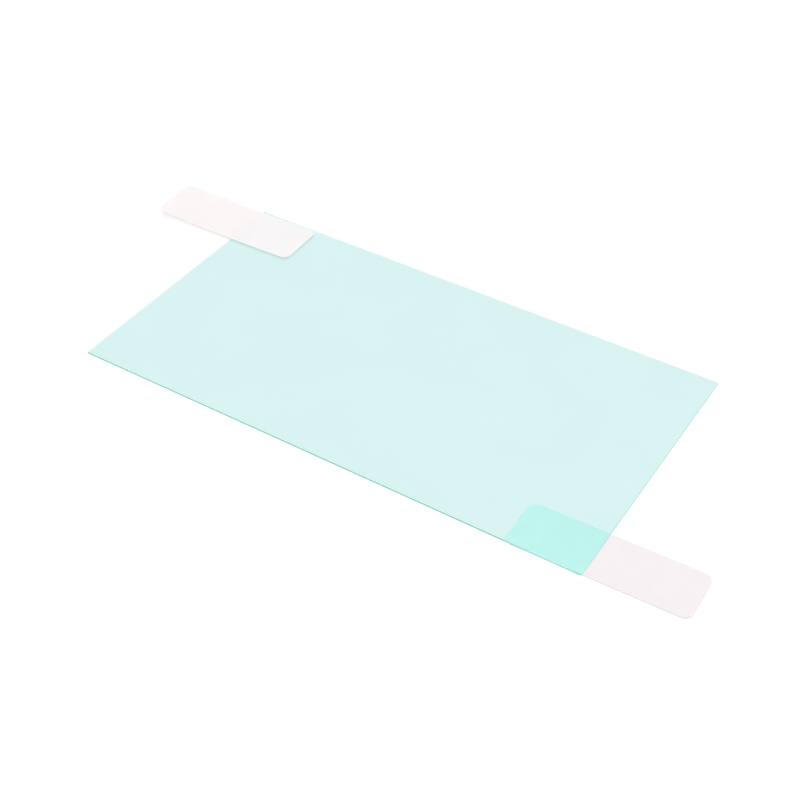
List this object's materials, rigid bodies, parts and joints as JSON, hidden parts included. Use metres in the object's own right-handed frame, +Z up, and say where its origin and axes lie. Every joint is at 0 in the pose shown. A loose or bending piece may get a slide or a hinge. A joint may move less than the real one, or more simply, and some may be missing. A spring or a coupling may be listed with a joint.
{
  "type": "radio transmitter screen protector",
  "caption": "Flat rectangular protector film for a transmitter screen, between peel-off liners, with a white pull tab at opposite corners.",
  "frame": {"origin": "under the middle of the film, on the surface that the protector lies on", "axes": "+X along the film's long side, +Y along its short side, +Z up out of the film's front face"},
  "size_m": [0.1294, 0.052, 0.001],
  "materials": {
    "aqua_film": "gloss",
    "clear_liner": "gloss",
    "white_tab": "satin"
  },
  "bodies": {
    "root": {"protector_film": "aqua_film", "front_liner": "clear_liner", "back_liner": "clear_liner", "front_pull_tab": "white_tab", "back_pull_tab": "white_tab"}
  },
  "joints": []
}
